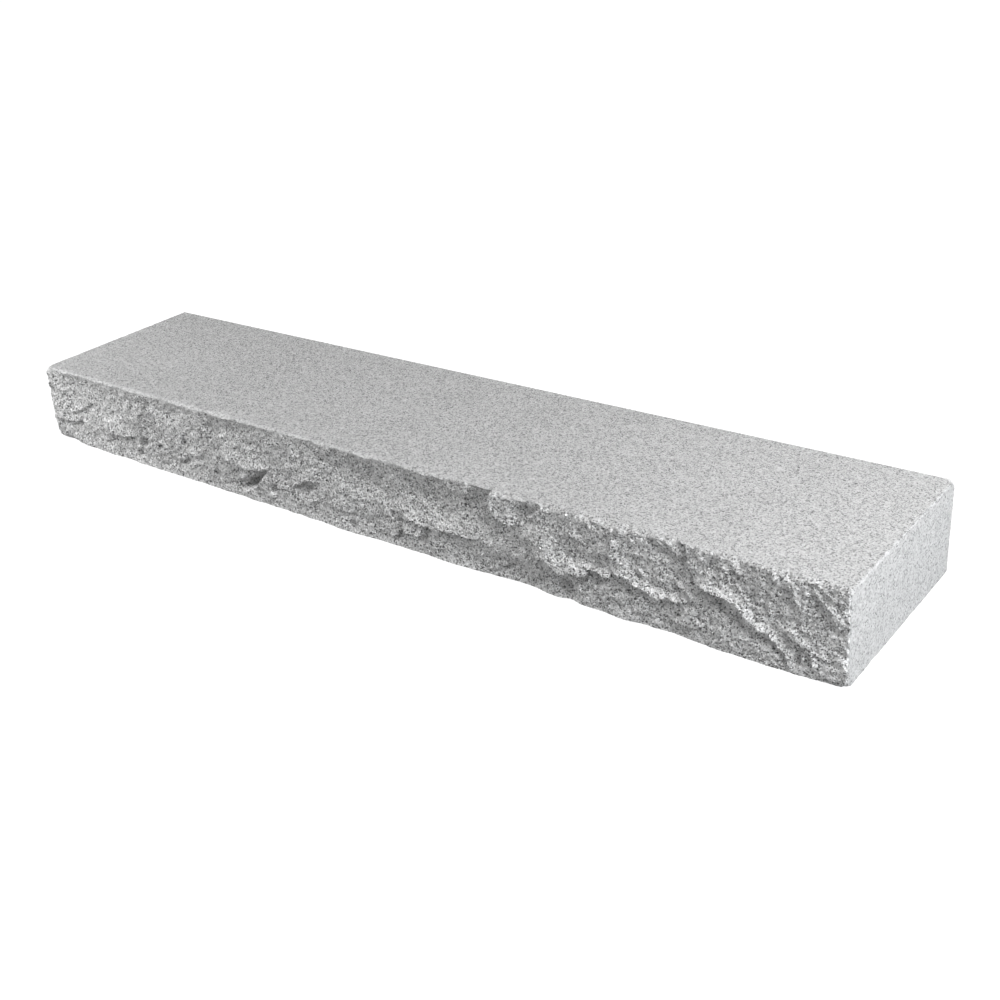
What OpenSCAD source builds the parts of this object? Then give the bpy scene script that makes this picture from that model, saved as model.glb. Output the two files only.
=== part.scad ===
// Rock-faced granite step: one length of stone, sawn true on the tread, the back, the two
// ends and the underside. The riser is left as the stone split when its waste was knocked
// off along the front arris, so it is covered in flake scars, ledges and hollows.
//
// Origin: the middle of the underside. +X runs along the step, -Y is the riser, +Z is up.

/* [Block] */
// Length of the step, end to end
step_l = 1650; // [900:10:2400]
// Depth of the tread, from the front arris to the sawn back
tread_d = 350; // [250:5:500]
// Height of the step, from the underside to the tread
step_h = 150; // [100:5:220]

/* [Rock face] */
// How far the foremost lump of the riser stands in front of the arris
bulge = 8; // [2:1:25]
// How far the deepest scar of the riser goes in behind the arris
hollow = 16; // [3:1:30]
// How far the riser is dished between the arris and the foot
dish = 3; // [0:0.5:8]
// Size of the facets that the riser is broken into
facet = 14; // [12:1:30]
// How far the small facets stand in and out of the larger scars
roughness = 1; // [0:0.1:2]

/* [Edges] */
// How far back a spall on the front arris goes for each millimetre of its height
spall_slope = 1.2; // [0.2:0.1:2]
// Length of the chip on the front corner at the left end of the tread
chip_l = 12; // [5:1:60]
// Depth of that chip into the tread
chip_d = 10; // [5:1:60]
// Height of that chip down the end
chip_h = 8; // [5:1:60]
// Size of the smaller breaks on the other worn corners
corner_break = 12; // [5:1:30]

/* [Hidden] */

// The foremost lump and the back are equally far from y = 0.
arris_y = (bulge - tread_d) / 2;
back_y = arris_y + tread_d;

// Places on the riser are [percent of the length from the left, percent of the height].
// Shells are thin flakes left standing. Each rises to a straight lip, then drops into a scoop.
// [place, half length of the lip, run up to the lip, height, lean of the lip in degrees]
SHELLS = [
    [[3, 31], 42, 18, 4, 3],
    [[12, 31], 60, 30, 5, 7],
    [[17, 63], 55, 30, 8, -127],
    [[32, 43], 68, 28, 8, 0],
    [[34, 18], 48, 40, 6, -147],
    [[42, 47], 44, 18, 6, 5],
    [[56, 21], 28, 18, 7, 0],
    [[59, 37], 92, 20, 5, -1],
    [[66, 90], 45, 38, 9, -90],
    [[68, 69], 25, 30, 6, -5],
    [[70, 85], 32, 16, 5, -145],
    [[72, 40], 45, 40, 8, -15],
    [[74, 37], 42, 42, 12, 3],
    [[77, 46], 32, 12, 8, -5],
    [[79, 49], 40, 16, 7, -5],
    [[82, 42], 52, 16, 8, -15],
    [[88, 62], 48, 18, 10, -16],
    [[92, 46], 48, 18, 10, -38],
    [[96, 29], 40, 16, 4, -48],
    [[98, 73], 35, 16, 4, -50],
];

// Depth of a scoop as a share of its shell's height, and how far it reaches past the lip.
SCOOP_SHARE = 0.8;
SCOOP_REACH = 26;

// Swells are rounded lumps, or hollows where the height is below zero.
// [place, half length, half height, height, lean of the long side in degrees]
SWELLS = [
    [[-1, -3], 110, 18, -10, 0],
    [[-1, 19], 60, 36, 7, 0],
    [[-1, 52], 100, 92, 9, 0],
    [[8, 77], 120, 55, -3, 5],
    [[11, 41], 36, 20, 4, 5],
    [[16, 31], 24, 16, -8, 42],
    [[20, 0], 160, 18, 3, 0],
    [[20, 53], 150, 60, 3, 10],
    [[22, 81], 30, 20, -6, 0],
    [[30, 50], 90, 45, 2, 30],
    [[30, 85], 70, 25, -3, 0],
    [[33, 18], 36, 18, -11, 34],
    [[42, 35], 30, 16, -7, 24],
    [[46, 40], 120, 45, 2, 0],
    [[47, 0], 110, 18, 3, 0],
    [[51, 68], 130, 46, -7, 0],
    [[59, 68], 85, 44, -7, -3],
    [[60, 12], 220, 42, -3, 0],
    [[64, 67], 50, 44, -9, -10],
    [[69, 17], 70, 34, -9, -5],
    [[69, 80], 28, 28, -7, 25],
    [[70, 59], 45, 40, 4, 0],
    [[73, 14], 32, 26, -12, -45],
    [[76, 0], 80, 18, 3, 0],
    [[83, 81], 30, 28, -4, 0],
    [[85, 67], 26, 45, -4, 0],
    [[88, 17], 260, 40, -3, 0],
    [[89, 0], 70, 18, 3, 0],
    [[89, 45], 28, 14, -6, -12],
    [[99, -1], 60, 18, -4, 0],
];

// Spalls are flakes lost from the front arris.
// [percent of the length from the left, half length, height]
SPALLS = [
    [24, 45, 5], [30, 40, 5], [50, 25, 5], [60, 30, 6], [64, 35, 5], [67, 30, 6],
    [73, 30, 5], [76, 24, 7], [78, 26, 9], [80, 26, 8], [84, 40, 5], [95, 30, 5],
];

// Corners that are broken: [which corner, length, depth and height of the break].
// A corner is named by the side of each axis that it lies on.
BREAKS = [
    [[-1, -1, 1], [chip_l, chip_d, chip_h]],
    [[1, 1, 1], [1, 1, 1] * corner_break * 2 / 3],
    [[1, -1, -1], [1.2, 1, 1.4] * corner_break],
    [[-1, -1, -1], [1, 1, 0.8] * corner_break],
];

// Long waves of the split: [height, length of a wave, phase in degrees, lean across the face].
WAVES = [
    [0.9, 760, 40, 0.3],
    [0.7, 330, 200, -0.8],
    [0.5, 170, 90, 0.9],
];

// The riser is a grid of points, which runs past the block on every side.
cols = ceil(step_l / facet) + 1;
rows = ceil(step_h / facet) + 1;
col_step = step_l / (cols - 1);
row_step = step_h / (rows - 1);
CHANCE = rands(-1, 1, (cols + 1) * (rows + 1), 7);

function grid_x(i) = -step_l / 2 + (i - 0.5) * col_step;
function grid_z(j) = (j - 0.5) * row_step;
function index(i, j) = i * (rows + 1) + j;
function sum(list) = [for (v = list) 1] * list;

// Where a point lies along and across a feature that leans.
function along(x, z, place, lean) = let(p = from_place(x, z, place)) p.x * cos(lean) + p.y * sin(lean);
function across(x, z, place, lean) = let(p = from_place(x, z, place)) p.y * cos(lean) - p.x * sin(lean);
function from_place(x, z, place) = [x + step_l / 2 - place.x * step_l / 100, z - place.y * step_h / 100];

// A rounded hump of height 1 that reaches zero, level, at r = 1.
function hump(r) = abs(r) < 1 ? pow(1 - r * r, 2) : 0;

// A shell's rise to its lip, and the scoop past it, both as a share of the shell's height.
function rise(c, run) = pow(max(0, 1 - c / run), 1.5);
function scoop(c) = -SCOOP_SHARE * max(0, 1 + c / SCOOP_REACH);

function shell(x, z, s) =
    let(a = along(x, z, s[0], s[4]), c = across(x, z, s[0], s[4]))
    s[3] * hump(a / s[1]) * (c > 0 ? rise(c, s[2]) : scoop(c));

function swell(x, z, s) =
    let(a = along(x, z, s[0], s[4]), c = across(x, z, s[0], s[4]))
    s[3] * hump(norm([a / s[1], c / s[2]]));

function wave(x, z, w) = w[0] * sin(360 * (x + w[3] * z) / w[1] + w[2]);

// The dish is flat over most of the height and runs out at the arris and the foot.
function dish_at(z) = dish * (1 - pow(min(1, abs(2 * z / step_h - 1)), 6));

function split_height(x, z) =
    sum([for (s = SHELLS) shell(x, z, s)])
    + sum([for (s = SWELLS) swell(x, z, s)])
    + sum([for (w = WAVES) wave(x, z, w)])
    - dish_at(z);

// Heights over the grid, then stretched so that they reach from the hollow to the bulge.
RAW = [for (i = [0:cols]) for (j = [0:rows])
    split_height(grid_x(i), grid_z(j)) + roughness * CHANCE[index(i, j)]];
ON_FACE = [for (i = [1:cols - 1]) for (j = [1:rows - 1]) RAW[index(i, j)]];
peak = max(ON_FACE);
pit = min(ON_FACE);
function stretched(h) = h > 0 ? h * bulge / peak : h * hollow / -pit;

// Loss at the spalls on the arris.
function spall_height(x) = max([for (s = SPALLS) s[2] * hump((x + step_l / 2 - s[0] * step_l / 100) / s[1])]);
function spall_loss(x, z) = spall_slope * max(0, z - step_h + spall_height(x));

function face_y(i, j) =
    let(x = grid_x(i), z = grid_z(j))
    arris_y - min(stretched(RAW[index(i, j)]), bulge) + spall_loss(x, z);

// The waste that was knocked off: flat in front, with the split riser as its rear side.
module waste() {
    front_y = arris_y - bulge - facet;
    rear = [for (i = [0:cols]) for (j = [0:rows]) [grid_x(i), face_y(i, j), grid_z(j)]];
    rim = concat(
        [for (i = [0:cols - 1]) index(i, 0)],
        [for (j = [0:rows - 1]) index(cols, j)],
        [for (i = [cols:-1:1]) index(i, rows)],
        [for (j = [rows:-1:1]) index(0, j)]
    );
    front = [for (k = rim) [rear[k].x, front_y, rear[k].z]];
    middle = [0, front_y, step_h / 2];
    n = len(rim);
    first = len(rear);
    split = [for (i = [0:cols - 1]) for (j = [0:rows - 1])
        let(a = index(i, j), b = index(i + 1, j), c = index(i + 1, j + 1), d = index(i, j + 1))
        each (i + j) % 2 == 0 ? [[a, b, c], [a, c, d]] : [[a, b, d], [b, c, d]]];
    walls = [for (k = [0:n - 1]) let(m = (k + 1) % n)
        each [[rim[m], rim[k], first + k], [rim[m], first + k, first + m]]];
    flat = [for (k = [0:n - 1]) [first + (k + 1) % n, first + k, first + n]];
    polyhedron(concat(rear, front, [middle]), concat(split, walls, flat));
}

// A break takes everything beyond the plane through three points on a corner's edges.
module corner_loss(side, size) {
    corner = [side.x * step_l / 2, side.y < 0 ? arris_y : back_y, side.z < 0 ? 0 : step_h];
    normal = [side.x / size.x, side.y / size.y, side.z / size.z];
    reach = 3 * max(size);
    translate(corner - [side.x * size.x, 0, 0])
        rotate([0, acos(normal.z / norm(normal)), atan2(normal.y, normal.x)])
            translate([-reach, -reach, 0])
                cube([2 * reach, 2 * reach, reach]);
}

module granite_step() {
    color([0.72, 0.72, 0.73])
        difference() {
            translate([-step_l / 2, arris_y - bulge, 0])
                cube([step_l, tread_d + bulge, step_h]);
            waste();
            for (b = BREAKS)
                corner_loss(b[0], b[1]);
        }
}

granite_step();
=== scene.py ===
import math

import bpy
import numpy as np
from mathutils import Matrix, Vector


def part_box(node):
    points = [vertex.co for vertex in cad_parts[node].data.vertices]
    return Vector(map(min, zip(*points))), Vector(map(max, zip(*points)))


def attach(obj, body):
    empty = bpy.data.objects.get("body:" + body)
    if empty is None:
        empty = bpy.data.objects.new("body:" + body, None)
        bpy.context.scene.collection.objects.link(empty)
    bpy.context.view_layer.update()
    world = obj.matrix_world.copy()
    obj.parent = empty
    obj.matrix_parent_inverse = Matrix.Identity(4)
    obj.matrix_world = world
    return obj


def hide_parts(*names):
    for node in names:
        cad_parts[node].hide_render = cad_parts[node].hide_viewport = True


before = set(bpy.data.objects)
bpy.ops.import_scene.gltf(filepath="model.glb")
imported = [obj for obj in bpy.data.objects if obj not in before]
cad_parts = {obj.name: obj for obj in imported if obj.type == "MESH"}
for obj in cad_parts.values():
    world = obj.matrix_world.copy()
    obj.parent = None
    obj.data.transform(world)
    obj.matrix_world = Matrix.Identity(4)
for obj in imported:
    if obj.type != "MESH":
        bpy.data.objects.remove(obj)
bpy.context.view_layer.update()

# ---------------------------------------------------------------------------
# The rock face. The riser is the side where the granite was split off with a
# pitching tool, so it broke away in overlapping shells, scoops and small steps.
# Places on it are metres right of the middle and metres above the underside.
# ---------------------------------------------------------------------------
low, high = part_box("granite_step")
LENGTH = high.x - low.x
RISE = high.z - low.z
# The furthest that the rock face stands in front of the arris.
BULGE = 0.008
ARRIS_Y = low.y + BULGE

# Lips of the shells: (height, run of the slope that climbs to the lip, depth of the
# scoop past it, reach of that scoop, points along the lip). The scoop is on the
# right-hand side of someone walking along the points.
LIPS = [
    (0.0040, 0.018, 0.0038, 0.018, [(-0.822, 0.050), (-0.800, 0.048), (-0.785, 0.045), (-0.770, 0.046),
                                    (-0.757, 0.050), (-0.746, 0.060)]),
    (0.0021, 0.014, 0.0020, 0.018, [(-0.775, 0.064), (-0.750, 0.072), (-0.730, 0.082), (-0.712, 0.092),
                                    (-0.695, 0.102)]),
    (0.0020, 0.012, 0.0030, 0.012, [(-0.700, 0.026), (-0.684, 0.025), (-0.668, 0.028), (-0.650, 0.036)]),
    (0.0055, 0.030, 0.0050, 0.020, [(-0.690, 0.040), (-0.670, 0.044), (-0.650, 0.046), (-0.630, 0.046),
                                    (-0.610, 0.048), (-0.592, 0.053), (-0.582, 0.060)]),
    (0.0080, 0.030, 0.0050, 0.016, [(-0.518, 0.138), (-0.530, 0.118), (-0.538, 0.106), (-0.546, 0.096),
                                    (-0.551, 0.086), (-0.562, 0.072), (-0.578, 0.058)]),
    (0.0030, 0.012, 0.0040, 0.012, [(-0.518, 0.055), (-0.503, 0.054), (-0.488, 0.050)]),
    (0.0035, 0.010, 0.0038, 0.015, [(-0.464, 0.026), (-0.451, 0.036), (-0.440, 0.048)]),
    (0.0030, 0.016, 0.0020, 0.015, [(-0.440, 0.054), (-0.422, 0.052), (-0.405, 0.055), (-0.392, 0.064)]),
    (0.0035, 0.012, 0.0030, 0.015, [(-0.328, 0.112), (-0.350, 0.102), (-0.378, 0.086)]),
    (0.0065, 0.028, 0.0070, 0.020, [(-0.350, 0.070), (-0.325, 0.066), (-0.300, 0.059), (-0.280, 0.058),
                                    (-0.262, 0.060), (-0.245, 0.064), (-0.228, 0.072)]),
    (0.0040, 0.040, 0.0080, 0.027, [(-0.236, 0.060), (-0.246, 0.046), (-0.258, 0.031), (-0.272, 0.022),
                                    (-0.290, 0.017), (-0.312, 0.010)]),
    (0.0045, 0.018, 0.0065, 0.021, [(-0.178, 0.047), (-0.159, 0.056), (-0.141, 0.066), (-0.122, 0.073),
                                    (-0.102, 0.072)]),
    (0.0030, 0.012, 0.0030, 0.015, [(-0.092, 0.042), (-0.066, 0.037), (-0.045, 0.035), (-0.026, 0.038)]),
    (0.0025, 0.012, 0.0045, 0.010, [(0.046, 0.010), (0.057, 0.021), (0.068, 0.032)]),
    (0.0050, 0.020, 0.0045, 0.021, [(0.064, 0.072), (0.076, 0.063), (0.095, 0.058), (0.112, 0.054),
                                    (0.130, 0.052), (0.147, 0.051), (0.160, 0.055), (0.185, 0.056),
                                    (0.210, 0.057), (0.242, 0.062)]),
    (0.0070, 0.018, 0.0055, 0.018, [(0.068, 0.038), (0.082, 0.032), (0.095, 0.030), (0.107, 0.031),
                                    (0.114, 0.038), (0.111, 0.050)]),
    (0.0020, 0.014, 0.0035, 0.010, [(0.250, 0.008), (0.264, 0.018), (0.280, 0.027), (0.294, 0.036)]),
    (0.0085, 0.038, 0.0080, 0.060, [(0.264, 0.165), (0.259, 0.138), (0.262, 0.118), (0.274, 0.106),
                                    (0.292, 0.101), (0.312, 0.104)]),
    (0.0045, 0.016, 0.0035, 0.024, [(0.356, 0.150), (0.350, 0.139), (0.343, 0.132), (0.334, 0.125),
                                    (0.323, 0.119), (0.310, 0.117)]),
    (0.0125, 0.048, 0.0030, 0.045, [(0.326, 0.066), (0.342, 0.063), (0.358, 0.060), (0.370, 0.054),
                                    (0.380, 0.047), (0.392, 0.048), (0.401, 0.053), (0.413, 0.053),
                                    (0.423, 0.053), (0.427, 0.061), (0.422, 0.071), (0.413, 0.081)]),
    (0.0030, 0.009, 0.0030, 0.010, [(0.424, 0.062), (0.428, 0.050), (0.424, 0.038), (0.414, 0.030),
                                    (0.404, 0.026)]),
    (0.0080, 0.009, 0.0080, 0.018, [(0.422, 0.073), (0.430, 0.066), (0.442, 0.064), (0.456, 0.064),
                                    (0.472, 0.067)]),
    (0.0025, 0.010, 0.0025, 0.012, [(0.428, 0.152), (0.431, 0.143), (0.437, 0.136), (0.447, 0.133)]),
    (0.0085, 0.014, 0.0050, 0.040, [(0.464, 0.078), (0.478, 0.073), (0.496, 0.071), (0.503, 0.065),
                                    (0.510, 0.062), (0.519, 0.063), (0.527, 0.060), (0.534, 0.056),
                                    (0.548, 0.054), (0.565, 0.054)]),
    (0.0055, 0.012, 0.0010, 0.015, [(0.472, 0.132), (0.474, 0.114), (0.473, 0.100), (0.475, 0.084)]),
    (0.0035, 0.014, 0.0030, 0.020, [(0.545, 0.057), (0.565, 0.056), (0.584, 0.057), (0.604, 0.061)]),
    (0.0035, 0.010, 0.0035, 0.015, [(0.568, 0.086), (0.580, 0.078), (0.592, 0.072), (0.604, 0.061)]),
    (0.0040, 0.025, 0.0035, 0.018, [(0.586, 0.165), (0.592, 0.140), (0.594, 0.120), (0.602, 0.102)]),
    (0.0100, 0.018, 0.0060, 0.030, [(0.594, 0.104), (0.606, 0.097), (0.621, 0.094), (0.632, 0.089),
                                    (0.646, 0.088), (0.659, 0.086), (0.668, 0.079), (0.677, 0.071),
                                    (0.685, 0.063), (0.694, 0.056), (0.706, 0.052), (0.724, 0.054)]),
    (0.0035, 0.010, 0.0040, 0.013, [(0.698, 0.053), (0.712, 0.049), (0.726, 0.043)]),
    (0.0046, 0.008, 0.0042, 0.010, [(0.710, 0.054), (0.722, 0.043), (0.731, 0.032), (0.739, 0.020),
                                    (0.746, 0.008), (0.750, 0.000)]),
    (0.0022, 0.010, 0.0025, 0.015, [(0.714, 0.152), (0.722, 0.138), (0.730, 0.124)]),
    (0.0036, 0.016, 0.0040, 0.022, [(0.732, 0.062), (0.748, 0.055), (0.761, 0.048), (0.770, 0.039),
                                    (0.777, 0.028), (0.783, 0.010)]),
    (0.0036, 0.014, 0.0035, 0.020, [(0.738, 0.136), (0.748, 0.121), (0.755, 0.108), (0.764, 0.094)]),
    (0.0032, 0.016, 0.0042, 0.026, [(0.772, 0.134), (0.787, 0.122), (0.799, 0.109), (0.809, 0.096),
                                    (0.817, 0.080)]),
    (0.0025, 0.010, 0.0025, 0.012, [(0.776, 0.040), (0.790, 0.037), (0.806, 0.035)]),
]

# Swells and hollows: (height, middle, half length, half height, lean in degrees).
SWELLS = [
    (0.009, (-0.845, 0.078), 0.100, 0.092, 0),
    (-0.010, (-0.840, -0.004), 0.110, 0.014, 0),
    (0.007, (-0.835, 0.028), 0.060, 0.036, 0),
    (-0.003, (-0.690, 0.115), 0.120, 0.055, 5),
    (0.004, (-0.648, 0.062), 0.036, 0.020, 5),
    (-0.008, (-0.583, 0.018), 0.014, 0.011, 30),
    (-0.018, (-0.561, 0.047), 0.018, 0.011, 42),
    (0.002, (-0.500, 0.000), 0.160, 0.024, 0),
    (0.003, (-0.500, 0.080), 0.150, 0.060, 10),
    (-0.006, (-0.466, 0.122), 0.030, 0.020, 0),
    (-0.004, (-0.455, 0.033), 0.015, 0.008, 42),
    (-0.009, (-0.443, 0.073), 0.010, 0.010, 0),
    (-0.005, (-0.368, 0.116), 0.013, 0.016, 60),
    (-0.006, (-0.362, 0.030), 0.010, 0.014, 0),
    (-0.003, (-0.330, 0.128), 0.070, 0.025, 0),
    (0.002, (-0.330, 0.075), 0.090, 0.045, 30),
    (0.009, (-0.297, 0.036), 0.013, 0.006, 25),
    (-0.022, (-0.283, 0.027), 0.030, 0.011, 32),
    (-0.012, (-0.266, 0.041), 0.018, 0.007, 35),
    (0.006, (-0.262, 0.030), 0.008, 0.006, 35),
    (-0.013, (-0.221, 0.032), 0.013, 0.010, 0),
    (-0.010, (-0.137, 0.049), 0.024, 0.009, 34),
    (0.002, (-0.060, 0.060), 0.120, 0.045, 0),
    (0.002, (-0.050, 0.000), 0.110, 0.034, 0),
    (-0.009, (-0.036, 0.013), 0.010, 0.011, 55),
    (-0.007, (0.010, 0.102), 0.130, 0.046, 0),
    (-0.009, (0.055, 0.057), 0.008, 0.009, 60),
    (-0.008, (0.068, 0.048), 0.011, 0.006, 0),
    (-0.004, (0.118, 0.042), 0.016, 0.009, 0),
    (-0.007, (0.150, 0.102), 0.085, 0.044, -3),
    (-0.003, (0.160, 0.018), 0.220, 0.042, 0),
    (-0.005, (0.225, 0.104), 0.045, 0.042, -10),
    (-0.008, (0.272, 0.090), 0.026, 0.010, -28),
    (-0.0075, (0.305, 0.006), 0.095, 0.052, 0),
    (-0.007, (0.320, 0.120), 0.028, 0.028, 25),
    (0.005, (0.340, 0.088), 0.034, 0.038, 15),
    (-0.015, (0.388, 0.018), 0.032, 0.023, -50),
    (-0.002, (0.435, 0.010), 0.080, 0.040, 0),
    (-0.007, (0.442, 0.045), 0.022, 0.008, 0),
    (0.003, (0.487, 0.087), 0.012, 0.018, 0),
    (-0.005, (0.523, 0.045), 0.016, 0.006, -10),
    (-0.006, (0.550, 0.002), 0.085, 0.044, 0),
    (-0.004, (0.550, 0.122), 0.030, 0.028, 0),
    (-0.004, (0.555, 0.040), 0.014, 0.007, -30),
    (-0.006, (0.574, 0.031), 0.009, 0.007, 0),
    (-0.004, (0.575, 0.100), 0.026, 0.045, 0),
    (0.0015, (0.640, 0.022), 0.090, 0.034, 0),
    (-0.009, (0.644, 0.068), 0.026, 0.011, -12),
    (-0.003, (0.704, 0.085), 0.012, 0.008, -30),
    (-0.004, (0.716, 0.038), 0.012, 0.006, -35),
    (-0.007, (0.755, 0.024), 0.008, 0.024, -10),
    (-0.004, (0.815, -0.002), 0.060, 0.014, 0),
]


def hump(r):
    """A rounded hump, 1 at r = 0 and level at 0 from r = 1 on."""
    return np.clip(1 - r * r, 0, None) ** 2


def ease(t):
    """A smooth step from 0 to 1 as t goes from 0 to 1."""
    t = np.clip(t, 0, 1)
    return t * t * (3 - 2 * t)


# A lip ends in a steep step of this width, and it dies out over this share of its line at both ends.
SCARP = 0.003
LIP_FADE = 0.2


def lip_relief(x, z, height, run, scoop, reach, points):
    """One shell: it climbs to its lip, drops into a scoop past it and dies out at both ends."""
    nearest = np.full(x.shape, np.inf)
    side = np.zeros(x.shape)
    way = np.zeros(x.shape)
    legs = [math.dist(a, b) for a, b in zip(points, points[1:])]
    gone = 0.0
    for (x0, z0), (x1, z1), leg in zip(points, points[1:], legs):
        ux = (x1 - x0) / leg
        uz = (z1 - z0) / leg
        along = np.clip((x - x0) * ux + (z - z0) * uz, 0, leg)
        dx = x - x0 - along * ux
        dz = z - z0 - along * uz
        distance = np.hypot(dx, dz)
        closer = distance < nearest
        nearest = np.where(closer, distance, nearest)
        side = np.where(closer, np.sign(dz * ux - dx * uz), side)
        way = np.where(closer, (gone + along) / sum(legs), way)
        gone += leg
    fade = ease(np.minimum(way, 1 - way) / LIP_FADE)
    climb = height * np.clip(1 - nearest / run, 0, 1) ** 1.5
    fall = ease(nearest / SCARP)
    past = height * (1 - fall) - scoop * fall * (1 - ease((nearest - SCARP) / reach))
    return fade * np.where(side > 0, climb, past)


def swell_relief(x, z, height, middle, half_length, half_height, lean):
    """One rounded swell, or with a height below 0 one hollow."""
    turn = math.radians(lean)
    dx = x - middle[0]
    dz = z - middle[1]
    along = dx * math.cos(turn) + dz * math.sin(turn)
    across = dz * math.cos(turn) - dx * math.sin(turn)
    return height * hump(np.hypot(along / half_length, across / half_height))


def rolling(u, v, size, seed):
    """Smooth random ups and downs between about -1 and 1, in lumps of the given size."""
    n = 64
    to_full_height = 1.6
    # The shift keeps the numbers of the lumps above 0.
    shift = 500.5
    turn = np.random.default_rng(seed).uniform(0, 2 * math.pi, (n, n))
    u = u / size + shift
    v = v / size + shift
    i = np.floor(u).astype(int)
    j = np.floor(v).astype(int)
    u = u - i
    v = v - j
    fade_u = u * u * u * (u * (6 * u - 15) + 10)
    fade_v = v * v * v * (v * (6 * v - 15) + 10)

    def corner(a, b):
        angle = turn[(i + a) % n, (j + b) % n]
        return np.cos(angle) * (u - a) + np.sin(angle) * (v - b)

    near = corner(0, 0) + fade_u * (corner(1, 0) - corner(0, 0))
    far = corner(0, 1) + fade_u * (corner(1, 1) - corner(0, 1))
    return to_full_height * (near + fade_v * (far - near))


def layered(u, v, layers):
    """Rolling ups and downs on top of each other, each layer as (height, size, seed)."""
    return sum(height * rolling(u, v, size, seed) for height, size, seed in layers)


def broken_grains(u, v, size, tilt, seed):
    """Small flat breaks side by side, each tilted its own way, as crystals come away."""
    n = 128
    shift = 500
    step_share = 0.35
    rng = np.random.default_rng(seed)
    jitter = rng.uniform(0.1, 0.9, (n, n, 2))
    slope = rng.normal(0, tilt, (n, n, 2))
    step = rng.normal(0, tilt * size * step_share, (n, n))
    u = u / size + shift
    v = v / size + shift
    i = np.floor(u).astype(int)
    j = np.floor(v).astype(int)
    nearest = np.full(u.shape, np.inf)
    height = np.zeros(u.shape)
    for a in (-1, 0, 1):
        for b in (-1, 0, 1):
            p = (i + a) % n
            q = (j + b) % n
            du = u - (i + a) - jitter[p, q, 0]
            dv = v - (j + b) - jitter[p, q, 1]
            distance = du * du + dv * dv
            closer = distance < nearest
            nearest = np.where(closer, distance, nearest)
            here = step[p, q] + size * (slope[p, q, 0] * du + slope[p, q, 1] * dv)
            height = np.where(closer, here, height)
    return height


# Flutes left by the split: (lean in degrees, where along the block they start, where
# they reach full strength, that strength).
FLUTES = [
    (-48, 0.34, 0.52, 1.0),
    (38, 0.15, -0.25, 0.7),
]
# Broad flutes with finer ones over them: (strength, how many times longer than wide, width, seed).
FLUTE_WAVES = [(1.0, 3.5, 0.008, 13), (0.6, 4, 0.0046, 16)]


def streaks(x, z):
    """Fine flutes, down to the left on the left half and down to the right on the right half."""
    total = 0 * x
    for lean, start, full, strength in FLUTES:
        turn = math.radians(lean)
        along = x * math.cos(turn) + z * math.sin(turn)
        across = z * math.cos(turn) - x * math.sin(turn)
        waves = sum(
            height * rolling(along / stretch, across, width, seed)
            for height, stretch, width, seed in FLUTE_WAVES
        )
        total += strength * ease((x - start) / (full - start)) * waves
    return total


# How far the lips wander off their lines, along the block and up or down: (distance, size, seed).
WANDER_X = [(0.0025, 0.018, 11), (0.0012, 0.006, 14)]
WANDER_Z = [(0.0020, 0.016, 12), (0.0012, 0.006, 15)]

# Half way up, the face is dished by SET_BACK. The dish has a flat bottom on the left and a round
# one on the right, and it changes over between the two places.
SET_BACK = 0.003
DISH_LEFT = 4
DISH_RIGHT = 1.5
DISH_CHANGES = (0.1, 0.3)

# Unevenness of the whole face: (height, size, seed).
WAVES = [(0.0014, 0.150, 1), (0.0018, 0.060, 2), (0.0014, 0.028, 3)]

# Grit: ripples, flutes and broken crystals, the last as (size, tilt, seed). It grows a little
# towards the right end, and it is weaker just above the underside.
RIPPLES = [(0.0010, 0.014, 4)]
FLUTE_DEPTH = 0.0013
BREAKS = [(0.016, 0.06, 5), (0.0075, 0.09, 6), (0.0042, 0.20, 7)]
GRIT_MIDDLE = 0.95
GRIT_GROWS = 0.15
GRIT_FOOT = 0.25
FOOT_HEIGHT = 0.010

# The split starts from a scored line along the arris. It keeps to that line by this share, down to
# this depth below the arris, and from the left end up to this place.
SCORE_HOLD = 0.7
SCORE_REACH = 0.014
SCORE_END = 0.15

# The highest lips are worn round before they reach the bulge.
HIGHEST = BULGE - 0.0004
CROWN = 0.0012


def rock_relief(x, z):
    """How far the riser stands in front of the arris at each place."""
    bend_x = x + layered(x, z, WANDER_X)
    bend_z = z + layered(x, z, WANDER_Z)
    relief = sum(lip_relief(bend_x, bend_z, *lip) for lip in LIPS)
    relief += sum(swell_relief(x, z, *swell) for swell in SWELLS)
    change = ease((x - DISH_CHANGES[0]) / (DISH_CHANGES[1] - DISH_CHANGES[0]))
    squareness = DISH_LEFT + (DISH_RIGHT - DISH_LEFT) * change
    relief -= SET_BACK * (1 - np.abs(2 * z / RISE - 1) ** squareness)
    relief += layered(x, z, WAVES)
    grit = layered(x, z, RIPPLES) + FLUTE_DEPTH * streaks(x, z)
    grit += sum(broken_grains(x, z, *grains) for grains in BREAKS)
    grit *= GRIT_MIDDLE + GRIT_GROWS * x
    relief += grit * (GRIT_FOOT + (1 - GRIT_FOOT) * ease(z / FOOT_HEIGHT))
    relief *= 1 - SCORE_HOLD * ease(1 - (RISE - z) / SCORE_REACH) * (1 - ease(x / SCORE_END))
    return -CROWN * np.logaddexp(-relief / CROWN, -HIGHEST / CROWN)


# ---------------------------------------------------------------------------
# The front arris. The pitching tool struck along it, so it is bruised white and
# crumbled from end to end, with larger spalls where the blows went deeper.
# ---------------------------------------------------------------------------
# The bruised strip: its height down the riser and how that varies as (height, size, seed), the
# least it may be, and how many times wider it is over the tread than it is high.
BRUISE_HEIGHT = 0.0026
BRUISE_WAVES = [(0.0015, 0.018, 21), (0.0016, 0.0065, 22)]
LEAST_HEIGHT = 0.0015
BRUISE_SLOPE = 1.7

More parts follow.
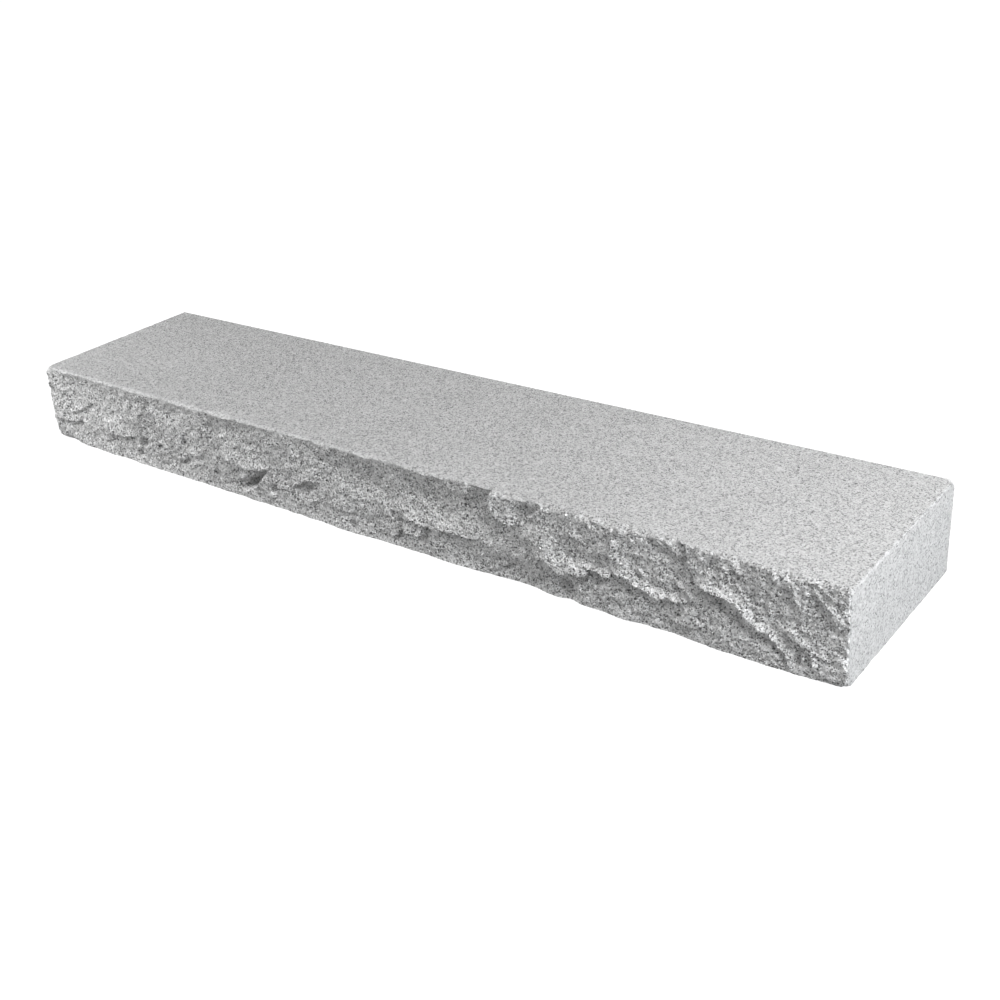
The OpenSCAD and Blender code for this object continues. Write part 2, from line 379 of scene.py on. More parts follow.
# Its ragged edge on the tread, and the least width it may have there.
RAGGED_EDGE = [(0.0012, 0.011, 31), (0.0016, 0.0052, 33)]
LEAST_WIDTH = 0.0008

# Where the rock face falls back further than UNDERCUT_FROM just below the arris, the tread's edge
# stands over it, and from UNDERCUT_OVER more it is broken only UNDERCUT_EDGE wide.
UNDERCUT_FROM = 0.0045
UNDERCUT_OVER = 0.003
UNDERCUT_EDGE = 0.0015

# Crumbs on the strip, in this many rows: their height, how it varies, its middle level, and the
# way they stand out.
SPALL_ROWS = 5
CRUMB = 0.0009
CRUMB_WAVES = [(1.0, 0.006, 32), (0.8, 0.0034, 34)]
CRUMB_LEVEL = 0.4
CRUMB_Y = -0.6
CRUMB_Z = 0.8

# Spalls: (place along the arris, half length, height down the riser). SPALL_WAVES is how their
# height varies.
SPALLS = [
    (-0.780, 0.030, 0.001), (-0.660, 0.040, 0.001), (-0.425, 0.045, 0.002), (-0.330, 0.040, 0.003),
    (0.005, 0.025, 0.002), (0.130, 0.025, 0.002), (0.173, 0.030, 0.003), (0.287, 0.030, 0.003),
    (0.372, 0.030, 0.002), (0.426, 0.024, 0.004), (0.463, 0.026, 0.006), (0.495, 0.026, 0.005),
    (0.525, 0.024, 0.003), (0.570, 0.030, 0.002), (0.650, 0.060, 0.002), (0.745, 0.030, 0.002),
    (0.787, 0.028, 0.002), (0.818, 0.020, 0.001),
]
SPALL_WAVES = [(0.3, 0.009, 23)]


def spall_height(x):
    """How far down the riser the broken arris reaches at each place."""
    level = 0 * x
    bruise = BRUISE_HEIGHT + layered(x, level, BRUISE_WAVES)
    spalls = np.max([height * hump((x - at) / half) for at, half, height in SPALLS], axis=0)
    return np.maximum(bruise, LEAST_HEIGHT) + spalls * (1 + layered(x, level, SPALL_WAVES))


def arris_strip(x, strip, top_y):
    """The points up the strip, from the top of the rock face, and where the tread starts behind it."""
    undercut = ease((top_y - ARRIS_Y - UNDERCUT_FROM) / UNDERCUT_OVER)
    width = BRUISE_SLOPE * strip * (1 - undercut) + UNDERCUT_EDGE * undercut
    width += layered(x, 0 * x, RAGGED_EDGE)
    edge_y = ARRIS_Y + np.maximum(width, LEAST_WIDTH)
    up = np.linspace(0, 1, SPALL_ROWS + 1)[None, 1:]
    crumb = CRUMB * np.sin(np.pi * up) * (CRUMB_LEVEL + layered(x + 0 * up, up * strip, CRUMB_WAVES))
    strip_y = top_y + (edge_y - top_y) * up + CRUMB_Y * crumb
    strip_z = np.minimum(RISE - strip + strip * up + CRUMB_Z * crumb, RISE)
    return strip_y, strip_z, edge_y


# ---------------------------------------------------------------------------
# The sawn ends. Each end was cut square with a saw, which left crisp arrises
# that have since been knocked: small chips all round and a few broken corners.
# ---------------------------------------------------------------------------
# The two long edges at the back are eased by this much.
SAWN_EDGE = 0.0005

# What has worn off the edges of an end: the least of it, then how ragged it is on the riser and on
# the sawn sides, the waves and the middle level of that, and how the chips vary.
WORN = 0.0005
RAGGED_RISER = 0.0018
RAGGED_SAWN = 0.0006
RAGGED_WAVES = [(1, 0.006, 51)]
RAGGED_LEVEL = 0.6
CHIP_WAVES = [(0.35, 0.005, 52)]

# The two ends read the random waves this far to either side, so that they aren't alike.
ENDS_APART = 0.013

# Chips on an end's edges: (end, side of the block, place along that side, half
# length, size). The place is y on the tread and underside, z on riser and back.
CHIPS = [
    (1, "tread", -0.140, 0.014, 0.0026), (1, "tread", -0.112, 0.010, 0.0016),
    (1, "tread", -0.085, 0.016, 0.0014), (1, "tread", -0.060, 0.012, 0.0023),
    (1, "tread", -0.030, 0.012, 0.0016), (1, "tread", 0.002, 0.010, 0.0020),
    (1, "tread", 0.030, 0.014, 0.0013), (1, "tread", 0.056, 0.009, 0.0022),
    (1, "tread", 0.120, 0.008, 0.0010), (1, "riser", 0.022, 0.010, 0.0020),
    (1, "riser", 0.050, 0.014, 0.0026), (1, "riser", 0.083, 0.010, 0.0020),
    (1, "riser", 0.120, 0.012, 0.0033), (1, "back", 0.060, 0.012, 0.0010),
    (1, "underside", -0.090, 0.020, 0.0013), (1, "underside", 0.040, 0.016, 0.0010),
    (-1, "tread", -0.100, 0.012, 0.0013), (-1, "tread", 0.020, 0.010, 0.0010),
    (-1, "tread", 0.090, 0.012, 0.0009), (-1, "riser", 0.030, 0.010, 0.0020),
    (-1, "riser", 0.060, 0.014, 0.0020), (-1, "riser", 0.100, 0.012, 0.0026),
    (-1, "back", 0.090, 0.012, 0.0010), (-1, "underside", 0.080, 0.018, 0.0013),
]

# Broken corners: (end, front -1 or back 1, bottom 0 or top 1, reach along the
# length, reach across the depth, reach down or up).
CORNERS = [
    (-1, -1, 1, 0.012, 0.010, 0.008),
    (1, 1, 1, 0.009, 0.010, 0.008),
    (1, -1, 0, 0.016, 0.014, 0.014),
    (-1, -1, 0, 0.010, 0.010, 0.010),
    (1, -1, 1, 0.006, 0.006, 0.006),
]

# Roughness of a broken corner: rolling (height, size, seed) and broken crystals (size, tilt, seed).
CORNER_WAVES = [(0.0012, 0.008, 61)]
CORNER_BREAKS = (0.004, 0.25, 62)

# The way in from each side, as (y, z).
INWARD = {"riser": (1, 0), "tread": (0, -1), "back": (-1, 0), "underside": (0, 1)}


def edge_loss(end, side, along):
    """Size of the break along one edge of an end."""
    ragged = RAGGED_RISER if side == "riser" else RAGGED_SAWN
    level = 0 * along + ENDS_APART * end
    loss = WORN + ragged * np.clip(RAGGED_LEVEL + layered(along, level, RAGGED_WAVES), 0, None)
    wave = 1 + layered(along, level, CHIP_WAVES)
    for chip_end, chip_side, place, half, size in CHIPS:
        if chip_end == end and chip_side == side:
            loss = loss + size * wave * hump((along - place) / half)
    return loss


def break_edges(rings, end, from_end, from_side):
    """Knocks off the edges of one end. The distances say how far each ring is from the edge."""
    for side, stretch in SIDES.items():
        part = rings[:, stretch]
        along = part[0, :, 1] if side in ("tread", "underside") else part[0, :, 2]
        lack = np.clip(edge_loss(end, side, along) - from_end[:, None] - from_side[:, None], 0, None) / 2
        part[..., 0] -= end * lack
        part[..., 1] += INWARD[side][0] * lack
        part[..., 2] += INWARD[side][1] * lack


def break_corners(points, end):
    """Cuts off the broken corners of one end, each along a rough slanting plane."""
    for corner_end, front_back, top, reach_x, reach_y, reach_z in CORNERS:
        if corner_end != end:
            continue
        corner = Vector((end * LENGTH / 2, high.y if front_back > 0 else ARRIS_Y, top * RISE))
        out = Vector((end / reach_x, front_back / reach_y, (2 * top - 1) / reach_z))
        length = out.length
        out.normalize()
        # The roughness runs on across the slanting cut.
        slant_y = points[..., 1] + 0.3 * points[..., 0]
        slant_z = points[..., 2] - 0.4 * points[..., 0]
        rough = layered(slant_y, slant_z, CORNER_WAVES) + broken_grains(slant_y, slant_z, *CORNER_BREAKS)
        over = (points - np.array(corner)) @ np.array(out) + 1 / length - rough
        points -= np.clip(over, 0, None)[..., None] * np.array(out)


# ---------------------------------------------------------------------------
# The block. One length of light grey granite, sawn on every side but the riser.
# Its skin runs from end to end in closed rings: up the riser, back over the
# tread, down the back and along underneath, with finer rings near both ends.
# ---------------------------------------------------------------------------
# Points round a fine ring, side by side, and the distance between the long rings.
RISER_ROWS = 76
TREAD_STEPS = 160
BACK_STEPS = 40
UNDER_STEPS = 70
COLUMN = 0.0021

# The fine rings' distances from the end of the block, then from the edge in over the sawn face.
END_STEPS = [0.0, 0.0006, 0.0014, 0.0026, 0.0042, 0.0060, 0.0080, 0.0102, 0.0126, 0.0152, 0.018, 0.021, 0.024]
CAP_STEPS = [0.0006, 0.0014, 0.0026, 0.0042, 0.0062, 0.0090, 0.0130, 0.0180, 0.0250]


def ring_points(x):
    """The closed rings at the places x, as an array of (ring, point, xyz)."""
    x = x[:, None]
    strip = spall_height(x)
    riser_z = np.linspace(0, 1, RISER_ROWS)[None] * (RISE - strip)
    riser_y = ARRIS_Y - rock_relief(x + 0 * riser_z, riser_z)
    strip_y, strip_z, edge_y = arris_strip(x, strip, riser_y[:, -1:])
    back_y = high.y - SAWN_EDGE
    tread_y = edge_y + (back_y - edge_y) * np.arange(1, TREAD_STEPS + 1)[None] / TREAD_STEPS
    back_z = SAWN_EDGE + (RISE - 2 * SAWN_EDGE) * np.arange(BACK_STEPS, -1, -1)[None] / BACK_STEPS + 0 * x
    foot_y = riser_y[:, :1]
    under_y = foot_y + (back_y - foot_y) * np.arange(UNDER_STEPS, 0, -1)[None] / UNDER_STEPS
    y = np.concatenate([riser_y, strip_y, tread_y, high.y + 0 * back_z, under_y], axis=1)
    z = np.concatenate([riser_z, strip_z, RISE + 0 * tread_y, back_z, 0 * under_y], axis=1)
    return np.stack([x + 0 * y, y, z], axis=2)


# Where each side starts on a fine ring, and which points of each the long rings keep: all of the
# riser and the arris, and only a few where the block is flat.
TREAD_AT = RISER_ROWS + SPALL_ROWS
BACK_AT = TREAD_AT + TREAD_STEPS
UNDER_AT = BACK_AT + BACK_STEPS + 1
RING = UNDER_AT + UNDER_STEPS
SIDES = {
    "riser": slice(0, TREAD_AT),
    "tread": slice(TREAD_AT, BACK_AT),
    "back": slice(BACK_AT, UNDER_AT),
    "underside": slice(UNDER_AT, RING),
}
TREAD_KEPT = [1, 3, TREAD_STEPS // 4, TREAD_STEPS // 2, 3 * TREAD_STEPS // 4, TREAD_STEPS]
BACK_KEPT = [0, BACK_STEPS // 2, BACK_STEPS]
UNDER_KEPT = [0, UNDER_STEPS // 2, UNDER_STEPS - 2]
kept = list(range(TREAD_AT)) + [TREAD_AT + n - 1 for n in TREAD_KEPT]
kept += [BACK_AT + n for n in BACK_KEPT] + [UNDER_AT + n for n in UNDER_KEPT]
kept = np.array(kept)


def end_rings(end):
    """The fine rings of one end, along the block to its edge and then in over the sawn face."""
    from_end = np.array(END_STEPS[::-1] + [0.0] * len(CAP_STEPS))
    from_side = np.array([0.0] * len(END_STEPS) + CAP_STEPS)
    side_rings = ring_points(end * (LENGTH / 2 - from_end[:len(END_STEPS)]))
    edge = side_rings[-1]
    lowest = edge[:, 1:].min(axis=0)
    highest = edge[:, 1:].max(axis=0)
    middle = (lowest + highest) / 2
    cap_rings = np.repeat(edge[None], len(CAP_STEPS), axis=0)
    shrink = 1 - np.array(CAP_STEPS)[:, None, None] / ((highest - lowest) / 2)
    cap_rings[..., 1:] = middle + (edge[None, :, 1:] - middle) * shrink
    rings = np.concatenate([side_rings, cap_rings])
    whole = rings.copy()
    break_edges(rings, end, from_end, from_side)
    break_corners(rings, end)
    return rings, np.linalg.norm(rings - whole, axis=2)


half_run = LENGTH / 2 - END_STEPS[-1] - COLUMN
columns = np.linspace(-half_run, half_run, round(2 * half_run / COLUMN))
long_rings = ring_points(columns)[:, kept]
left_rings, left_lost = end_rings(-1)
right_rings, right_lost = end_rings(1)
verts = np.concatenate([rings.reshape(-1, 3) for rings in (long_rings, left_rings, right_rings)])
left_from = long_rings.shape[0] * len(kept)
right_from = left_from + left_rings.shape[0] * RING


def side_of(k):
    """The side that the stretch of the fine ring from point k on lies on."""
    if RISER_ROWS - 1 <= k < TREAD_AT - 1:
        return "arris"
    if k == TREAD_AT - 1:
        return "tread"
    return next(side for side, stretch in SIDES.items() if k < stretch.stop)


faces = []
face_sides = []


def add_quads(first, ring_count, marks, sides, flip):
    """Quads between ring_count rings, each with its points at marks round the ring."""
    size = len(marks)
    for ring in range(ring_count - 1):
        a = first + ring * size
        for k in range(size):
            n = (k + 1) % size
            quad = [a + k, a + size + k, a + size + n, a + n]
            faces.append(quad[::-1] if flip else quad)
            face_sides.append(sides[k])


def add_join(coarse, fine, flip):
    """The flat faces that join the last coarse ring to the first fine one."""
    for k, start in enumerate(kept):
        n = (k + 1) % len(kept)
        stop = kept[n] if n else RING
        face = [coarse + k] + [fine + m % RING for m in range(start, stop + 1)] + [coarse + n]
        faces.append(face[::-1] if flip else face)
        face_sides.append(side_of(start))


coarse_sides = [side_of(k) for k in kept]
fine_sides = [side_of(k) for k in range(RING)]
add_quads(0, len(long_rings), kept, coarse_sides, False)
for first, coarse, flip in ((left_from, 0, True), (right_from, left_from - len(kept), False)):
    add_join(coarse, first, flip)
    add_quads(first, len(END_STEPS), range(RING), fine_sides, flip)
    add_quads(first + (len(END_STEPS) - 1) * RING, len(CAP_STEPS) + 1, range(RING), ["end"] * RING, flip)
    cap = [first + (len(left_rings) - 1) * RING + k for k in range(RING)]
    faces.append(cap if flip else cap[::-1])
    face_sides.append("end")

# Breaks stay crisp where the faces meet at this many degrees or more.
SHARP_FROM = 42

mesh = bpy.data.meshes.new("granite_step_stone")
mesh.from_pydata(verts.tolist(), [], faces)
stone = bpy.data.objects.new("granite_step_stone", mesh)
bpy.context.scene.collection.objects.link(stone)
mesh.polygons.foreach_set("use_smooth", [True] * len(mesh.polygons))
mesh.set_sharp_from_angle(angle=math.radians(SHARP_FROM))
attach(stone, "root")
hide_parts("granite_step")

# Bruising: 1 where the stone is freshly knocked and crushed white, 0 where it is sound. STRUCK is
# how it grows up the riser and over the arris, and STRUCK_TREAD is what is left of it on the tread.
# Along the block it is full up to FADES_FROM, and over the next FADES_OVER it fades by FADES_BY.
STRUCK = [0.25, 0.45, 0.65, 0.85, 1, 1, 1, 0.9, 0.6]
STRUCK_TREAD = 0.2
FADES_FROM = -0.2
FADES_OVER = 0.6
FADES_BY = 0.8
# At the ends it follows what was knocked off, and this much loss makes it full.
DEEP_LOSS = 0.0055

struck_at = slice(TREAD_AT - len(STRUCK), TREAD_AT)
crushed = 1 - FADES_BY * ease((columns - FADES_FROM) / FADES_OVER)[:, None]
long_bruise = np.zeros(long_rings.shape[:2])
long_bruise[:, struck_at] = crushed * STRUCK
long_bruise[:, TREAD_AT:TREAD_AT + 1] = STRUCK_TREAD * crushed
end_bruise = np.clip(np.stack([left_lost, right_lost]) / DEEP_LOSS, 0, 1)
end_bruise[0, :len(END_STEPS), struck_at] = STRUCK
bruise = mesh.attributes.new("bruise", "FLOAT", "POINT")
bruise.data.foreach_set("value", np.concatenate([long_bruise.ravel(), end_bruise.ravel()]))

# A flat map of every side, laid one above the other at one scale, with this room for each. The
# two ends lie side by side in one row.
MAP_GAP = 0.006
MAP_SIZE = LENGTH + 2 * MAP_GAP
MAP_ROOM = {"tread": 0.36, "underside": 0.36, "riser": 0.155, "back": 0.155, "end": 0.155}
RIGHT_END_AT = 0.5
chart_at = {}
free_from = MAP_GAP
for side, room in MAP_ROOM.items():
    chart_at[side] = free_from
    free_from += room + MAP_GAP
corners = np.zeros(len(mesh.loops), int)
mesh.loops.foreach_get("vertex_index", corners)
sizes = [len(face) for face in faces]
loop_sides = np.repeat(np.array(face_sides), sizes)
loop_sides[loop_sides == "arris"] = "riser"
spot = verts[corners]
flat = np.zeros((len(corners), 2))
flat[:, 0] = spot[:, 0] + LENGTH / 2
lies_flat = np.isin(loop_sides, ["tread", "underside"])
flat[:, 1] = np.where(lies_flat, spot[:, 1] - low.y, spot[:, 2])
on_end = loop_sides == "end"
right_end = np.where(spot[:, 0] > 0, RIGHT_END_AT, 0)
flat[on_end, 0] = (spot[:, 1] - low.y + right_end)[on_end]
for side, bottom in chart_at.items():
    flat[loop_sides == side, 1] += bottom
flat[:, 0] += MAP_GAP
uv_map = mesh.uv_layers.new(name="OFBake")
uv_map.data.foreach_set("uv", (flat / MAP_SIZE).ravel())


# ---------------------------------------------------------------------------
# The granite. It is even and fine-grained: pale feldspar, greyer quartz and small flakes
# of black mica. One grain runs through to every side, split on the riser, bruised along
# the arris, flamed to a fine grit on the tread and sawn everywhere else.
# ---------------------------------------------------------------------------
QUARTZ = (0.30, 0.30, 0.30, 1)
GREY_FELDSPAR = (0.42, 0.42, 0.42, 1)
FELDSPAR = (0.53, 0.53, 0.53, 1)
WHITE_FELDSPAR = (0.64, 0.64, 0.64, 1)
MICA = (0.05, 0.05, 0.05, 1)
CRUSHED = (0.66, 0.66, 0.66, 1)

# How many there are to a metre: slow clouds of tone, clots of mica, clumps of like crystals, bends
# in the crystals' outlines, and grains of grit. There are FLAKE_CELLS places for mica to a crystal.
CLOUDS = 9.0
CLOTS = 42.0
CLUMPS = 80.0
BENDS = 900.0
GRITS = 1400.0
FLAKE_CELLS = 0.62

# How far the bends reach.
OUTLINE = 0.0012

# Where the two middle shades lie on the way from quartz at 0 to white feldspar at 1.
GREY_AT = 0.15
FELDSPAR_AT = 0.40


def set_input(tree, socket, value):
    """Links a node's input to another node's output, or gives it a plain value."""
    if isinstance(value, bpy.types.NodeSocket):
        tree.links.new(value, socket)
    else:
        socket.default_value = value


def maths(tree, operation, *values, clamp=False):
    """What one Math node puts out."""
    node = tree.nodes.new("ShaderNodeMath")
    node.operation = operation
    node.use_clamp = clamp
    for socket, value in zip(node.inputs, values):
        set_input(tree, socket, value)
    return node.outputs["Value"]


def between(tree, value, at_0, at_1):
    """A value that is at_0 where the given one is 0, and at_1 where it is 1."""
    return maths(tree, "MULTIPLY_ADD", value, at_1 - at_0, at_0)


def vector_maths(tree, operation, *values):
    """The vector that one Vector Math node puts out."""
    node = tree.nodes.new("ShaderNodeVectorMath")
    node.operation = operation
    for socket, value in zip(node.inputs, values):
        set_input(tree, socket, value)
    return node.outputs["Vector"]


def scaled(tree, vector, factor):
    """A vector or colour times a number."""
    node = tree.nodes.new("ShaderNodeVectorMath")
    node.operation = "SCALE"
    set_input(tree, node.inputs["Vector"], vector)
    set_input(tree, node.inputs["Scale"], factor)
    return node.outputs["Vector"]


def blend(tree, factor, first, second):
    """Mixes two colours. A factor above 1 goes past the second one."""
    node = tree.nodes.new("ShaderNodeMix")
    node.data_type = "RGBA"
    node.clamp_factor = False
    set_input(tree, node.inputs["Factor"], factor)
    colours = [socket for socket in node.inputs if socket.type == "RGBA"]
    set_input(tree, colours[0], first)
    set_input(tree, colours[1], second)
    return next(socket for socket in node.outputs if socket.type == "RGBA")


def noise(tree, place, scale, detail):
    """A noise with scale lumps to a metre and detail finer layers over them."""
    node = tree.nodes.new("ShaderNodeTexNoise")
    set_input(tree, node.inputs["Vector"], place)
    set_input(tree, node.inputs["Scale"], scale)
    set_input(tree, node.inputs["Detail"], detail)
    return node


def cells(tree, place, scale):
    """Cells of random shape, with three random numbers for each."""
    node = tree.nodes.new("ShaderNodeTexVoronoi")
    set_input(tree, node.inputs["Vector"], place)
    set_input(tree, node.inputs["Scale"], scale)
    numbers = tree.nodes.new("ShaderNodeSeparateColor")
    tree.links.new(node.outputs["Color"], numbers.inputs["Color"])
    return node, numbers.outputs


def granite_grain():
    """The group that every finish of the stone takes its colour, roughness and relief from."""
    tree = bpy.data.node_groups.new("granite grain", "ShaderNodeTree")
    tree.interface.new_socket("Place", in_out="INPUT", socket_type="NodeSocketVector")
    for name in ("Crystals", "Contrast", "Mica", "Tone", "Tilt", "Bruise"):
        tree.interface.new_socket(name, in_out="INPUT", socket_type="NodeSocketFloat")
    for name, kind in (("Color", "Color"), ("Roughness", "Float"), ("Height", "Float"), ("Facing", "Vector")):
        tree.interface.new_socket(name, in_out="OUTPUT", socket_type="NodeSocket" + kind)
    given = tree.nodes.new("NodeGroupInput").outputs
    result = tree.nodes.new("NodeGroupOutput").inputs

    # Ragged crystal outlines: the place wanders by about a millimetre at most.
    wander = noise(tree, given["Place"], BENDS, 1.0).outputs["Color"]
    place = vector_maths(tree, "MULTIPLY_ADD", wander, (OUTLINE, OUTLINE, OUTLINE), given["Place"])

    # The pale crystals, in four shades from quartz to white feldspar. They stand out more
    # towards the left end.
    crystals, lot = cells(tree, place, given["Crystals"])
    shades = tree.nodes.new("ShaderNodeValToRGB")
    tree.links.new(lot["Red"], shades.inputs[0])
    ramp = shades.color_ramp.elements
    ramp[0].color = QUARTZ
    ramp[1].color = WHITE_FELDSPAR
    ramp.new(GREY_AT).color = GREY_FELDSPAR
    ramp.new(FELDSPAR_AT).color = FELDSPAR
    apart = tree.nodes.new("ShaderNodeSeparateXYZ")
    tree.links.new(given["Place"], apart.inputs[0])
    marked = between(tree, apart.outputs["X"], 1.04, 0.86)
    contrast = maths(tree, "MULTIPLY", given["Contrast"], marked)
    pale = blend(tree, contrast, FELDSPAR, shades.outputs["Color"])

    # Slow changes of tone through the block, and clumps of like crystals.
    cloud = between(tree, noise(tree, given["Place"], CLOUDS, 3.0).outputs[0], 0.94, 1.06)
    clump = between(tree, noise(tree, given["Place"], CLUMPS, 4.0).outputs[0], 0.82, 1.18)
    tone = maths(tree, "MULTIPLY", maths(tree, "MULTIPLY", cloud, clump), given["Tone"])
    toned = scaled(tree, pale, tone)

    # Mica: one dark flake in some of the cells, smaller than its cell. Sizes are shares of a cell.
    flakes, flake_lot = cells(tree, place, maths(tree, "MULTIPLY", given["Crystals"], FLAKE_CELLS))
    chosen = maths(tree, "LESS_THAN", flake_lot["Green"], given["Mica"])
    flake_size = between(tree, flake_lot["Blue"], 0.18, 0.42)
    flake_room = maths(tree, "SUBTRACT", flake_size, flakes.outputs["Distance"])
    inside = maths(tree, "DIVIDE", flake_room, 0.08, clamp=True)
    flake = maths(tree, "MULTIPLY", chosen, inside)

    # Clots: here and there a few flakes have grown together into one black spot.
    clots, clot_lot = cells(tree, place, CLOTS)
    clot_size = between(tree, clot_lot["Red"], 0.032, 0.077)
    clot_room = maths(tree, "SUBTRACT", clot_size, clots.outputs["Distance"])
    clot = maths(tree, "DIVIDE", clot_room, 0.012, clamp=True)

    # The white dust of a bruise hides some of the mica.
    sound = between(tree, given["Bruise"], 1.0, 0.4)
    mica = maths(tree, "MULTIPLY", maths(tree, "MAXIMUM", flake, clot), sound)
    flecked = blend(tree, mica, toned, MICA)

    # Crushed crystals scatter light and look white.
    crumbs = maths(tree, "MULTIPLY", given["Bruise"], between(tree, lot["Green"], 0.05, 1.05))
    tree.links.new(blend(tree, crumbs, flecked, CRUSHED), result["Color"])

    # Each crystal has its own roughness, and mica is smoother.
    rough = between(tree, lot["Blue"], 0.58, 0.83)
    tree.links.new(maths(tree, "MULTIPLY_ADD", mica, -0.2, rough), result["Roughness"])

    # Each crystal stands a little higher or lower and breaks along its own plane.
    grit = maths(tree, "MULTIPLY", noise(tree, given["Place"], GRITS, 2.0).outputs[0], 0.5)
    stand = maths(tree, "MULTIPLY_ADD", lot["Green"], 0.7, grit)
    tree.links.new(maths(tree, "MULTIPLY_ADD", mica, -0.3, stand), result["Height"])
    lean = vector_maths(tree, "SUBTRACT", crystals.outputs["Color"], (0.5, 0.5, 0.5))
    surface = tree.nodes.new("ShaderNodeNewGeometry").outputs["Normal"]
    leaning = vector_maths(tree, "ADD", surface, scaled(tree, lean, given["Tilt"]))
    tree.links.new(vector_maths(tree, "NORMALIZE", leaning), result["Facing"])
    return tree


def granite(name, relief, **values):
    """One finish of the granite. relief is the height of its fine roughness in metres."""
    material = bpy.data.materials.new(name)
    material.use_nodes = True
    nodes = material.node_tree.nodes
    links = material.node_tree.links
    shader = nodes["Principled BSDF"]
    shader.inputs["Specular IOR Level"].default_value = 0.3
    place = nodes.new("ShaderNodeTexCoord")
    bruised = nodes.new("ShaderNodeAttribute")
    bruised.attribute_name = "bruise"
    grain = nodes.new("ShaderNodeGroup")
    grain.node_tree = GRAIN
    for socket, value in values.items():
        grain.inputs[socket.capitalize()].default_value = value
    bump = nodes.new("ShaderNodeBump")
    bump.inputs["Distance"].default_value = relief
    links.new(place.outputs["Object"], grain.inputs["Place"])
    links.new(bruised.outputs["Fac"], grain.inputs["Bruise"])
    links.new(grain.outputs["Color"], shader.inputs["Base Color"])
    links.new(grain.outputs["Roughness"], shader.inputs["Roughness"])
    links.new(grain.outputs["Height"], bump.inputs["Height"])
    links.new(grain.outputs["Facing"], bump.inputs["Normal"])
    links.new(bump.outputs["Normal"], shader.inputs["Normal"])
    return material


GRAIN = granite_grain()

# The four finishes. crystals is how many there are to a metre, and tilt how much they lean.
FINISHES = [
    # The split finish is painted much lighter than the others. Part of that is real, as a split face shows
    # whiter broken crystals. The rest is painted light that brightens the riser, which gets less lamp light
    # than the tread.
    granite("split granite", 0.0013, crystals=500, contrast=2.3, mica=0.43, tone=1.32, tilt=0.68),
    granite("bruised granite", 0.0010, crystals=480, contrast=2.0, mica=0.42, tone=0.84, tilt=0.60),
    granite("flamed granite", 0.0003, crystals=560, contrast=1.68, mica=0.42, tone=0.78, tilt=0.27),
    granite("sawn granite", 0.0001, crystals=450, contrast=1.35, mica=0.37, tone=0.79, tilt=0.06),
]
for finish in FINISHES:
    mesh.materials.append(finish)
FINISH_OF = {"riser": 0, "arris": 1, "tread": 2, "back": 3, "underside": 3, "end": 3}
mesh.polygons.foreach_set("material_index", [FINISH_OF[side] for side in face_sides])


# ---------------------------------------------------------------------------
# The studio: a plain white floor under soft round lamps. The strongest stand beside and
# above the right end and low behind the block, the next one at the left front, and weak
# ones fill in from overhead, from over the left and from the front.
# ---------------------------------------------------------------------------
FLOOR_SIZE = 40
FLOOR_PAINT = (0.27, 0.27, 0.27, 1)

# The glow that shows the floor white: this much under the block, and all of it from GLOW_REACH
# beyond the block's ends.
FLOOR_GLOW = 0.85
GLOW_REACH = 1.3

# The light that the room itself throws on the stone.
AMBIENT = 0.15


def seen_directly(tree):
    """1 for what the camera sees straight on, in a reflection or through glass, else 0."""
    path = tree.nodes.new("ShaderNodeLightPath")
    either = maths(tree, "MAXIMUM", path.outputs["Is Camera Ray"], path.outputs["Is Glossy Ray"])
    return maths(tree, "MAXIMUM", either, path.outputs["Is Transmission Ray"])


bpy.ops.mesh.primitive_plane_add(size=FLOOR_SIZE)
floor = bpy.context.object
floor.name = "floor"
floor_paint = bpy.data.materials.new("floor paint")
floor_paint.use_nodes = True
tree = floor_paint.node_tree
shader = tree.nodes["Principled BSDF"]
shader.inputs["Base Color"].default_value = FLOOR_PAINT
shader.inputs["Roughness"].default_value = 1.0
shader.inputs["Specular IOR Level"].default_value = 0.0
shader.inputs["Emission Color"].default_value = (1, 1, 1, 1)
place = tree.nodes.new("ShaderNodeTexCoord")
away = tree.nodes.new("ShaderNodeVectorMath")
away.operation = "LENGTH"
tree.links.new(place.outputs["Object"], away.inputs[0])
brighten = tree.nodes.new("ShaderNodeMapRange")
brighten.inputs["From Min"].default_value = LENGTH / 2
brighten.inputs["From Max"].default_value = LENGTH / 2 + GLOW_REACH
brighten.inputs["To Min"].default_value = FLOOR_GLOW
tree.links.new(away.outputs["Value"], brighten.inputs["Value"])
glow = maths(tree, "MULTIPLY", seen_directly(tree), brighten.outputs["Result"])
tree.links.new(glow, shader.inputs["Emission Strength"])
floor.data.materials.append(floor_paint)

world = bpy.data.worlds.new("studio")
bpy.context.scene.world = world
world.use_nodes = True
tree = world.node_tree
background = tree.nodes["Background"]
background.inputs["Color"].default_value = (1, 1, 1, 1)
tree.links.new(between(tree, seen_directly(tree), AMBIENT, 1.0), background.inputs["Strength"])

# The colours of the lamps: most are neutral, the one beside the right end is a little cool.
COOL = (0.965, 1.0, 1.03)
NEUTRAL = (1.0, 1.0, 1.0)


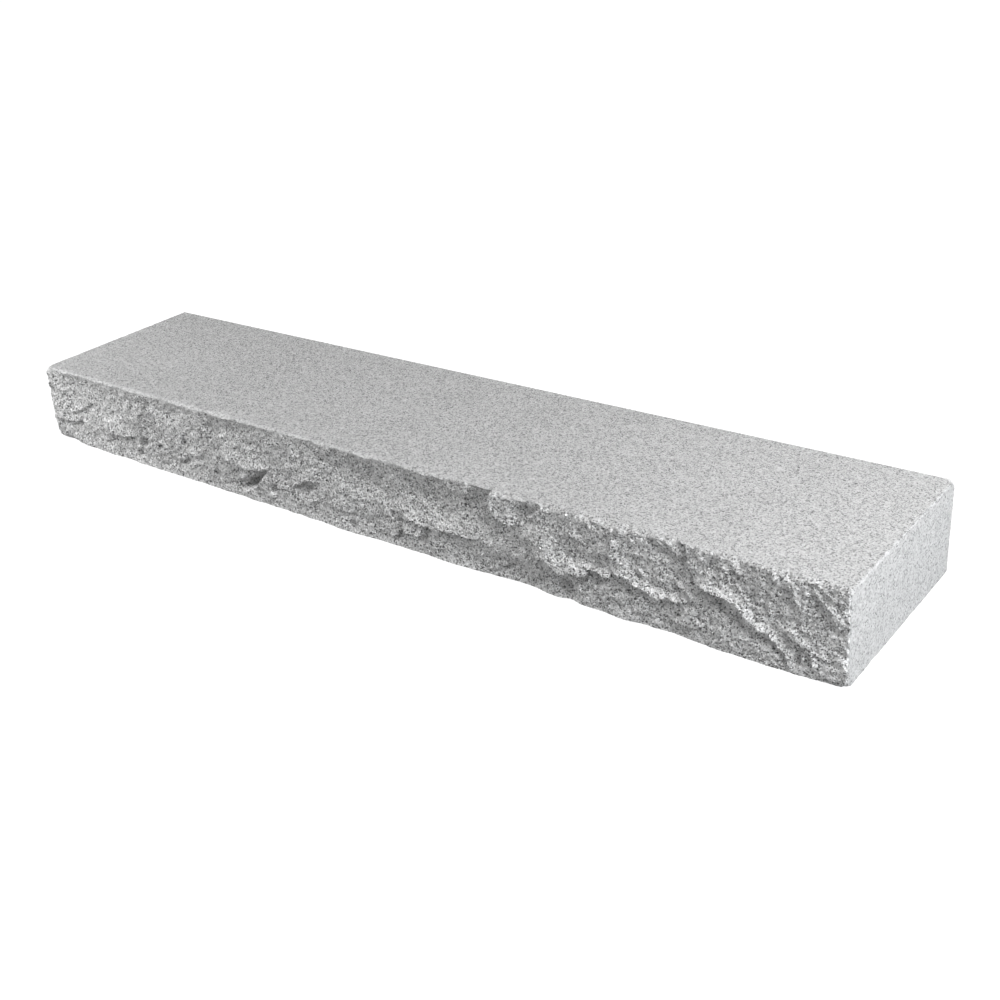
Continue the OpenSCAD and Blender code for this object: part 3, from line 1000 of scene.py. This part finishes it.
def softbox(name, size, power, at, aim, colour):
    """A round soft lamp at one point, turned to another."""
    light = bpy.data.lights.new(name, "AREA")
    light.shape = "DISK"
    light.size = size
    light.energy = power
    light.color = colour
    lamp = bpy.data.objects.new(name, light)
    lamp.location = at
    lamp.rotation_euler = (Vector(aim) - Vector(at)).to_track_quat("-Z", "Y").to_euler()
    bpy.context.scene.collection.objects.link(lamp)


softbox("side", 1.0, 29, (2.60, -0.20, 0.60), (0.5, 0, 0.1), COOL)
softbox("key", 1.2, 36, (1.70, -0.38, 1.60), (0.5, 0, 0.1), NEUTRAL)
softbox("overhead", 1.5, 6, (0.50, -0.50, 2.20), (0.2, 0, 0.1), NEUTRAL)
softbox("left", 1.5, 11, (-0.90, -0.80, 2.00), (-0.4, 0, 0.1), NEUTRAL)
softbox("fill", 0.8, 19, (-1.70, -0.90, 0.80), (-0.8, -0.1, 0.1), NEUTRAL)
softbox("front", 1.2, 1.5, (1.20, -2.00, 0.50), (0.5, -0.1, 0.1), NEUTRAL)
softbox("back", 0.8, 28, (0.50, 2.50, 0.42), (-0.1, 0.1, 0.05), NEUTRAL)

# ---------------------------------------------------------------------------
# The camera stands in front of the right end, about a metre up, and looks down along
# the block. It is held a few degrees off level.
# ---------------------------------------------------------------------------
STANDS_AT = (1.3678, -1.5068, 1.0198)
TURNED_LEFT = 39.188
LOOKS_DOWN = 27.071
OFF_LEVEL = -4.593
LENS = 47.457
SENSOR = 36

camera_data = bpy.data.cameras.new("camera")
camera_data.lens = LENS
camera_data.sensor_width = SENSOR
camera = bpy.data.objects.new("camera", camera_data)
camera.matrix_world = (
    Matrix.Translation(STANDS_AT)
    @ Matrix.Rotation(math.radians(TURNED_LEFT), 4, "Z")
    @ Matrix.Rotation(math.radians(90 - LOOKS_DOWN), 4, "X")
    @ Matrix.Rotation(math.radians(OFF_LEVEL), 4, "Z")
)
bpy.context.scene.collection.objects.link(camera)
bpy.context.scene.camera = camera
bpy.context.scene.view_settings.view_transform = "Standard"
